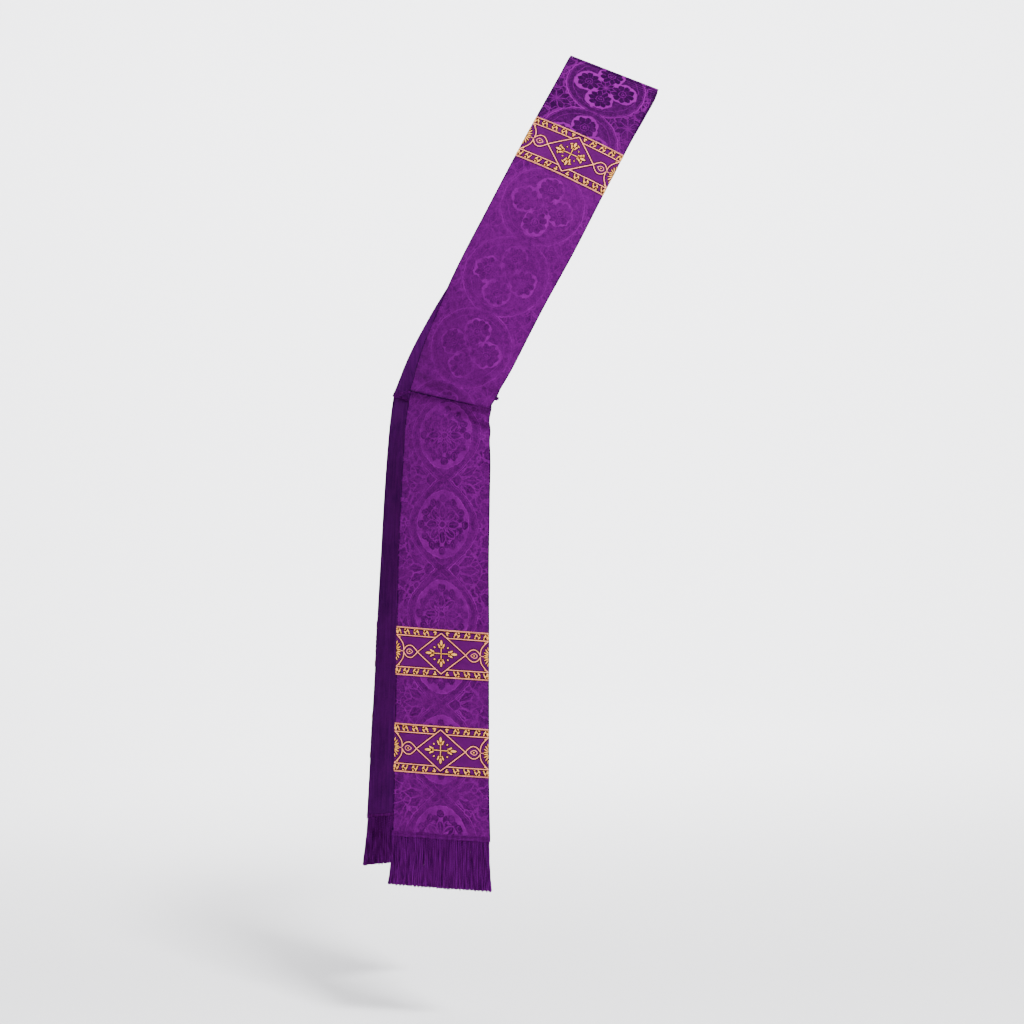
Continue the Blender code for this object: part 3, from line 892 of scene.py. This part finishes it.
def makeCloth(half):
    bm = bmesh.new()
    us = np.linspace(-1, 1, cloth["columns"] + 1)
    diagonal, hanging = half.diagonal, half.hanging
    curl = cloth["curl"] * mm
    curled = diagonal.end - curl * np.array((0.75, 0.5, 0.25, 0))
    ats = np.concatenate((rowsOf(-cloth["seamOverlap"] * mm, diagonal.end - curl), curled))
    points, flats = laid(diagonal, us, ats)
    flats[..., 1] -= cloth["diagonalStart"]
    gridOn(bm, points, flats, half.outward, 0, ats - diagonal.end)
    # the lower run starts as a tongue behind the tuck
    tall = between(us, cloth["tongueOuter"], cloth["tongueInner"]) * mm
    lap = between(us, cloth["lapOuter"], cloth["lapInner"]) * mm
    close = -(cloth["wall"] + cloth["tongueGap"]) * mm
    tongue, tongueFlats = [], []
    parts = np.array((1.0, 0.72, 0.45, 0.2))
    for part in parts:
        u, up = us * (1 - 0.05 * part), diagonal.end - tall * part
        free = diagonal.lay(u, up, -lap, bare=True)
        tongue.append(free + (diagonal.lay(u, up, close) - free) * part)
        tongueFlats.append(hanging.flat(us, np.full(len(us), -tall * part)))
    ats = rowsOf(cloth["hangingTop"] * mm, hanging.end)
    points, flats = laid(hanging, us, ats)
    middle = (hanging.place("upperTop") + hanging.place("upperFoot")) / 2
    flats[ats > middle, :, 1] += cloth["hangingShift"]
    points = np.concatenate((np.array(tongue), points))
    flats = np.concatenate((np.array(tongueFlats), flats))
    flats[..., 1] -= cloth["hangingStart"]
    gridOn(bm, points, flats, half.outward, 1, np.concatenate((-5 * mm * parts, ats)))
    name = half.side + "Cloth"
    piece = finishPiece(meshOf(bm, name), name, ("quatrefoil", "rosette", "lining", "lining"))
    wallOn(piece, cloth["wall"] * mm, -1, cloth["edgeRound"] * mm, 2)
    return piece


# Galloon bands: the figure's leaves as x, y, length, width and angle in degrees, for one quarter

crossLeaves = (
    (0.0, 5.0, 12.6, 1.5, 90), (0.0, 15.9, 9.2, 4.2, 90), (3.7, 12.1, 6.0, 2.8, 60),
    (2.7, 9.0, 3.0, 1.7, 16), (6.8, 0.0, 15.4, 1.5, 0), (19.5, 0.0, 10.2, 4.2, 0),
    (15.0, 3.7, 6.2, 2.8, 32), (11.6, 2.7, 3.0, 1.7, 74),
)
dotLeaves = ((10.2, 9.0, 3.2, 2.5, 45),)
lilyLeaves = ((5.6, 15.6, 5.4, 1.9, -30), (18.8, 5.6, 5.4, 1.9, 120), (9.4, 8.2, 2.6, 1.7, 45))
palmetteLeaves = (
    (67.0, 1.4, 7.2, 1.8, 176), (67.2, 4.6, 8.0, 1.9, 150), (68.4, 8.0, 8.4, 1.9, 124),
    (70.2, 12.0, 6.0, 1.6, 104), (69.8, 3.4, 2.8, 1.6, 160), (69.4, 28.8, 5.4, 2.8, 60),
    (66.0, 20.6, 3.2, 1.6, 40),
)
cornerLeaves = ((9.6, 31.2, 6.4, 2.6, 0), (9.2, 28.4, 4.2, 2.0, -52))
sprigLeaves = (
    (-2.2, 1.0, 7.2, 2.5, 60), (2.7, -1.7, 6.4, 2.5, 52), (2.9, 3.0, 3.2, 2.0, -30),
    (-3.9, -3.0, 2.6, 1.8, 10), (0.4, 0.2, 4.6, 1.3, -40),
)


def tubes(name, routes, radius, sides=1, radii=None):
    # round threads along the routes, as one mesh
    curve = bpy.data.curves.new(name, "CURVE")
    curve.dimensions = "3D"
    curve.bevel_depth, curve.bevel_resolution, curve.use_fill_caps = radius, sides, True
    for number, route in enumerate(routes):
        spline = curve.splines.new("POLY")
        spline.points.add(len(route) - 1)
        spline.points.foreach_set("co", np.column_stack((route, np.ones(len(route)))).ravel())
        if radii is not None:
            spline.points.foreach_set("radius", radii[number])
    holder = bpy.data.objects.new(name, curve)
    mesh = bpy.data.meshes.new_from_object(holder)
    bpy.data.objects.remove(holder)
    bpy.data.curves.remove(curve)
    return mesh


def evenly(points, step, bent=True):
    # the same route with points an even step apart, bent smoothly unless told otherwise
    points = np.array(points, float)
    along = lengths(points)
    fine = np.linspace(0, along[-1], 30 * len(points))
    path = smooth(points, along, fine) if bent and len(points) > 2 else np.array(
        [np.interp(fine, along, points[:, k]) for k in range(points.shape[1])]).T
    length = lengths(path)
    marks = np.linspace(0, length[-1], max(2, round(length[-1] / step)) + 1)
    return np.array([np.interp(marks, length, path[:, k]) for k in range(points.shape[1])]).T


def mirrored(route):
    return [np.array(route) * (sx, sy) for sx in (1, -1) for sy in (1, -1)]


def addTubes(bm, routes, radius, flatness, material):
    threads = tubes("thread", [np.column_stack((r, np.zeros(len(r)))) for r in routes], radius)
    known = set(bm.verts)
    bm.from_mesh(threads)
    bpy.data.meshes.remove(threads)
    new = [v for v in bm.verts if v not in known]
    for vertex in new:
        vertex.co.z *= flatness
    for face in {f for v in new for f in v.link_faces}:
        face.material_index = material


def leafShape(rings, material):
    # one worked leaf, a unit long each way and drawn to a point at its tip
    bm = bmesh.new()
    bmesh.ops.create_uvsphere(bm, u_segments=8, v_segments=rings, radius=1)
    for vertex in bm.verts:
        vertex.co.y *= 1 - 0.5 * max(vertex.co.x, 0) ** 2
    for face in bm.faces:
        face.material_index = material
    return meshOf(bm, "leaf")


def addLeaf(bm, shapes, leaf, sx, sy, place=0.0, level=0.0):
    # a gold leaf on a dark one that shows all round it as painted shade, in the quarter that sx and sy
    # give
    x, y, length, width, angle = leaf
    across, down = sx * math.cos(angle * degree), sy * math.sin(angle * degree)
    turned = Matrix.Rotation(math.atan2(down, across), 4, "Z")
    moved = Matrix.Translation((sx * (place + x), sy * (level + y), 0))
    layers = (0.0, galloon["leafHeight"]), (galloon["outline"], galloon["outlineHeight"])
    for shape, (wider, tall) in zip(shapes, layers):
        one = shape.copy()
        size = Matrix.Diagonal((length / 2 + wider, width / 2 + wider, tall, 1))
        one.transform(moved @ turned @ size)
        bm.from_mesh(one)
        bpy.data.meshes.remove(one)


def flatFigure(lilies):
    bm, shapes = bmesh.new(), (leafShape(5, 1), leafShape(4, 2))
    width, across, tall = galloon["halfWidth"] - 0.5, *galloon["diamond"]
    clear = across * (1 - galloon["innerLine"] / tall)  # where the inner line meets the diamond
    lines, fine, edgings = [], [], []
    for sign in (1, -1):
        outer, inner = sign * galloon["outerLine"], sign * galloon["innerLine"]
        fine += [evenly(((-width, outer + d), (width, outer + d)), 2.5) for d in (-0.55, 0.55)]
        edgings += [evenly(((-width, outer - sign * 0.7), (width, outer - sign * 0.7)), 5.0)]
        lines += [evenly(((side * clear, inner), (side * width, inner)), 2.5) for side in (1, -1)]
        fine.append(evenly(np.array(galloon["bar"]) * (sign, 1), 1.4))
    lines += mirrored(evenly(((0.0, tall), (across, 0.0)), 2.2))
    lines += mirrored(evenly(galloon["eye"], 1.3)) + mirrored(evenly(galloon["arch"], 1.5))
    fine += mirrored(evenly(galloon["teardrop"], 0.9))
    squash = galloon["lineHeight"] / galloon["lineRound"]
    addTubes(bm, lines, galloon["lineRound"], squash, 0)
    addTubes(bm, fine, galloon["fineRound"], squash * 1.2, 0)
    # painted shade: dark threads under and beside the gold lines, standing in for the shadow round the
    # raised thread
    wide = galloon["lineRound"] + galloon["outline"]
    addTubes(bm, lines + edgings, wide, galloon["outlineHeight"] / wide, 2)
    for leaf in crossLeaves + palmetteLeaves + (lilyLeaves if lilies else dotLeaves):
        for sx in ((1, -1) if leaf[0] else (1,)):
            for sy in ((1, -1) if leaf[1] else (1,)):
                addLeaf(bm, shapes, leaf, sx, sy)
    for sx in (1, -1):
        addLeaf(bm, shapes, (sx * galloon["pupil"], 0, 2.6, 2.2, 0), 1, 1)
        for leaf in cornerLeaves:
            for sy in (1, -1):
                addLeaf(bm, shapes, leaf, sx, sy)
        for sy in (1, -1):
            for place in galloon["sprigs"]:
                for leaf in sprigLeaves:
                    addLeaf(bm, shapes, leaf, sx, sy, place, galloon["sprigLevel"])
    for shape in shapes:
        bpy.data.meshes.remove(shape)
    return meshOf(bm, "figure")


figures = {"ShoulderBand": flatFigure(True)}
figures["UpperBand"] = figures["LowerBand"] = flatFigure(False)


def makeBand(half, place, run, first, last):
    start, end = run.place(first), run.place(last)
    middle, reachDown = (start + end) / 2, (end - start) / 2
    name = half.side + place
    us = np.linspace(-galloon["trim"], galloon["trim"], galloon["columns"] + 1)
    u, at, shape = spread(us, np.linspace(start, end, galloon["rows"] + 1))
    outer = run.above(u, at, (galloon["seam"] + galloon["wall"]) * mm)
    flats = np.stack((u * galloon["halfWidth"], (at - middle) / reachDown * galloon["halfHeight"]), 1)
    bm = bmesh.new()
    gridOn(bm, outer.reshape(shape), flats.reshape(shape), half.outward)
    ground = finishPiece(meshOf(bm, name + "Ground"), name + "Ground", ("ground",))
    wallOn(ground, galloon["wall"] * mm, -1, galloon["edgeRound"] * mm)
    # the figure, worked flat and then laid on the ground
    bm = bmesh.new()
    bm.from_mesh(figures[place])
    layer = bm.loops.layers.uv.new("cloth")
    for face in bm.faces:
        for loop in face.loops:
            loop[layer].uv = loop.vert.co.xy
    flat = np.array([vertex.co for vertex in bm.verts])
    u = np.clip(flat[:, 0] / galloon["halfWidth"], -1, 1)
    at = middle + flat[:, 1] / galloon["halfHeight"] * reachDown
    height = (galloon["seam"] + galloon["wall"] + flat[:, 2] * galloon["figureFlat"]) * mm
    for vertex, point in zip(bm.verts, run.above(u, at, height)):
        vertex.co = point
    if half.outward < 0:  # y goes down, so the flat work is turned over on the front
        bmesh.ops.reverse_faces(bm, faces=bm.faces[:])
    bmesh.ops.recalc_face_normals(bm, faces=bm.faces[:])
    figure = finishPiece(meshOf(bm, name + "Figure"), name + "Figure", ("copper", "gold", "shade"))
    return ground, figure


# Fringe: a narrow tape with twisted cords along it, and two ranks of twisted strands. Sizes in mm.

fringe = {
    "length": 80.0,
    "halfWidth": 73.5,
    "seam": 0.3,
    "header": 6.5,
    "headerWall": 2.0,
    "proud": 0.4,
    "flare": 1.085,
    "strands": 52,
    "spread": 0.985,  # how much of the hem's width the strands' roots take
    "step": 1.15,
    "rankShift": 3.1,
    "rootDepth": 1.25,
    "rootTucked": 1.5,  # how far the strands start up inside the tape
    "ply": 0.96,
    "plyArm": 0.60,
    "plyTwist": 7.4,
    "rankGap": 1.9,
    "clump": 8.5,  # mm between the gatherings of strands at the tips
    "clumpDrift": (0.31, 1.3),  # how slowly the gatherings drift, and how far
    "lean": (0.5, 0.20),  # how far a strand leans into a gathering, and how unevenly
    "thickness": 0.05,
    "tip": (1.6, 0.16, 2.4),  # mm of taper, how much the end swells, and mm from the end
    "swell": 0.34,
    "sway": 0.55,
    "uneven": 3.4,
    "tipPitch": 6.0,
    "cords": ((-0.35, 3.4), (1.6, 3.4), (5.7, 4.2)),  # mm down the tape, and the length of a turn
    "cordArms": (0.42, 0.30),
    "cordPly": 0.48,
    "seed": 11,
}


def makeFringe(half):
    run = half.hanging
    middle, across, out, down, halfWidth, bow = (v[0] for v in run.frame(np.array([run.end])))
    plumb = np.array((0.0, 0.0, -1.0))
    plumb = unit(plumb - across * (plumb @ across))
    draw = np.random.default_rng(fringe["seed"] + half.outward)

    def at(u, drop, depth):
        # on the hem's own curve, drop below it and depth behind its face
        return middle + across * (u * halfWidth) + out * (bow * (1 - u * u) - depth) + down * drop

    routes, radii = [], []
    step = fringe["step"] * mm
    top = (fringe["seam"] + fringe["header"] - fringe["rootTucked"]) * mm
    tip = fringe["length"] * mm
    clump, (drift, drifted) = 2 * math.pi / (fringe["clump"] * mm), fringe["clumpDrift"]
    lean, leanSpread = fringe["lean"]
    taper, swollen, fromTip = fringe["tip"]
    for rank in (0, 1):
        for number in range(fringe["strands"] - rank):
            u0 = ((2 * number + 1 + rank) / fringe["strands"] - 1) * fringe["spread"]
            where = u0 * halfWidth + rank * fringe["rankShift"] * mm
            gather = -math.sin(where * clump + math.sin(where * clump * drift) * drifted)
            scallop = 1 - abs(math.cos(where * math.pi / (fringe["tipPitch"] * mm)))
            length = tip - top - fringe["uneven"] * mm * (draw.random() * 0.3 + scallop * 0.7)
            phase, wave = draw.random(2) * 2 * math.pi
            aside = gather * lean + draw.normal(0, leanSpread)
            thick = 1 + draw.normal(0, fringe["thickness"])
            s = np.arange(0, length + step / 2, step)
            share = s / length
            swing = fringe["sway"] * mm * share**1.2 * (np.sin(wave + share * 4.2) * 0.3 + aside)
            sink = fringe["sway"] * mm * share * np.sin(phase + share * 3.1) * 0.8
            flare = 1 + (fringe["flare"] - 1) * share**1.5
            depth = (fringe["rootDepth"] - fringe["proud"] + rank * fringe["rankGap"]) * mm
            sideways = columnOf(u0 * halfWidth * (flare - 1) + swing)
            spine = at(u0, top, depth) + across * sideways + out * columnOf(sink) + plumb * columnOf(s)
            for ply in (0, 1):
                turn = phase + ply * math.pi + 2 * math.pi * s / (fringe["plyTwist"] * mm)
                end = np.clip((length - s) / (taper * mm), 0.0, 1.0)
                swell = 1 + swollen * np.exp(-(((length - s) / mm - fromTip) / taper) ** 2)
                arm = fringe["plyArm"] * mm * thick * np.clip(end, 0.25, 1)
                sideways, outwards = columnOf(np.cos(turn) * arm), columnOf(np.sin(turn) * arm)
                routes.append(spine + across * sideways + out * outwards)
                radii.append(thick * np.clip(end, 0.35, 1) ** 0.5 * swell * (1 + fringe["swell"] * share))
    mesh = tubes("strands", routes, fringe["ply"] * mm, 0, radii)
    strands = finishPiece(mesh, half.side + "FringeStrands", ("fringe",))

    # header: a tape with two twisted cords along its top and one along its foot
    us = np.linspace(-1, 1, 61)
    drops = np.linspace(fringe["seam"], fringe["seam"] + fringe["header"], 6) * mm
    points = np.array([[at(u, drop, -fringe["proud"] * mm * 0.4) for u in us] for drop in drops])
    flats = np.array([[(u * fringe["halfWidth"], drop / mm) for u in us] for drop in drops])
    bm, name = bmesh.new(), half.side + "FringeTape"
    gridOn(bm, points, flats, half.outward)
    tape = finishPiece(meshOf(bm, name), name, ("header",))
    wallOn(tape, fringe["headerWall"] * mm, -1, 0.5 * mm)
    routes, (downArm, outArm) = [], fringe["cordArms"]
    for level, twist in fringe["cords"]:
        marks = np.linspace(-1.0, 1.0, 340)
        drop, proud = (fringe["seam"] + level) * mm, (fringe["proud"] + 0.1) * mm
        spine = np.array([at(u, drop, -proud) for u in marks])
        s = lengths(spine)
        for ply in (0, 1):
            turn = ply * math.pi + 2 * math.pi * s / (twist * mm)
            downwards = columnOf(np.cos(turn)) * downArm * mm
            outwards = columnOf(np.sin(turn)) * outArm * mm
            routes.append(spine + down * downwards + out * outwards)
    mesh = tubes("braid", routes, fringe["cordPly"] * mm, 1)
    braid = finishPiece(mesh, half.side + "FringeBraid", ("header",))
    return strands, tape, braid


# Tie cord: three plies twisted, knotted at both ends, behind the two tucks and round the side.
# Sizes in mm.

cord = {
    "diameter": 4.7,
    "behind": 0.5,
    "riseInner": 17.0,
    "clothBehind": 2.3,
    "lapOuter": 0.9,
    "lapInner": 4.2,
    "us": (1.0, 0.75, 0.45, 0.1, -0.3, -0.65, -0.92),
    "side": ((-320, -43, -490.5), (-329.5, -20, -492), (-336, 4, -493.5)),
    "twist": 13.0,
    "ply": 1.22,
    "knotReach": 0.95,
    "knotThread": 1.15,
    "pastEdge": -2.6,
    "step": 1.3,
    "gathered": 2.0,  # mm at each end where the plies come together
}


def cordBehind(half):
    run, found = half.diagonal, []
    for u in cord["us"]:
        lap = between(u, cord["lapOuter"], cord["lapInner"])
        behind = (cord["clothBehind"] + cord["diameter"] / 2 + lap + cord["behind"]) * mm
        at = run.end - cord["riseInner"] * mm * (u + 1) / 2
        found.append(run.lay(np.array([u]), np.array([at]), -behind, bare=True)[0])
    return found


def makeCord():
    ahead, behind = cordBehind(halves["front"]), cordBehind(halves["back"])
    side = [np.array(p) * mm for p in cord["side"]]
    ends = [s[0] + unit(s[0] - s[1]) * cord["pastEdge"] * mm for s in (ahead, behind)]
    route = evenly([ends[0], *ahead, *side, *reversed(behind), ends[1]], cord["step"] * mm)
    s = lengths(route)
    along = unit(np.gradient(route, axis=0))
    first = unit(np.cross(along, (0.0, 0.0, 1.0)))
    second = np.cross(along, first)
    close = np.clip(np.minimum(s, s[-1] - s) / (cord["gathered"] * mm), 0.3, 1.0)
    plies = []
    for ply in range(3):
        turn = ply * 2 * math.pi / 3 + 2 * math.pi * s / (cord["twist"] * mm)
        arm = columnOf((cord["diameter"] / 2 - cord["ply"]) * mm * close)
        plies.append(route + (first * columnOf(np.cos(turn)) + second * columnOf(np.sin(turn))) * arm)
    twisted = tubes("plies", plies, cord["ply"] * mm, 2)
    # each knot is an overhand turn drawn tight
    t = np.linspace(0, 2 * math.pi, 73)
    knots = []
    for end, way in ((ends[0], unit(ahead[0] - ahead[1])), (ends[1], unit(behind[0] - behind[1]))):
        up = unit(np.cross(way, (0.3, 0.9, 0.1)))
        third = np.cross(way, up)
        loop = (
            np.outer(np.sin(t) + 2 * np.sin(2 * t), up)
            + np.outer(np.cos(t) - 2 * np.cos(2 * t), third)
            - np.outer(np.sin(3 * t) * 1.1, way)
        )
        knots.append(end + loop * cord["knotReach"] * mm)
    tied = tubes("knots", knots, cord["knotThread"] * mm, 2)
    bm = bmesh.new()
    bm.from_mesh(twisted)
    bm.from_mesh(tied)
    for spare in (twisted, tied):
        bpy.data.meshes.remove(spare)
    print(f"tie cord {s[-1]:.3f} m from knot to knot")
    return finishPiece(meshOf(bm, "tieCord"), "tieCord", ("cord",))


makeCamera()
makeLamps()
makeFloor()
print("studio ready")

clothPieces, trimmings = {}, {}
for side, half in halves.items():
    clothPieces[side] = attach(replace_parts(makeCloth(half), side + "_half"), "root")
    trims = []
    for place, run, first, last, node in (
        ("ShoulderBand", half.diagonal, "bandTop", "bandFoot", "_shoulder_band"),
        ("UpperBand", half.hanging, "upperTop", "upperFoot", "_upper_band"),
        ("LowerBand", half.hanging, "lowerTop", "lowerFoot", "_lower_band"),
    ):
        ground, figure = makeBand(half, place, run, first, last)
        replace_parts(ground, side + node)
        trims += [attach(piece, "root") for piece in (ground, figure)]
    strands, tape, braid = makeFringe(half)
    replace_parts(strands, side + "_fringe")
    trims += [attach(piece, "root") for piece in (strands, tape, braid)]
    trimmings[side] = trims
    print(side, "half dressed")

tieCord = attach(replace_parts(makeCord(), "tie_cord"), "root")
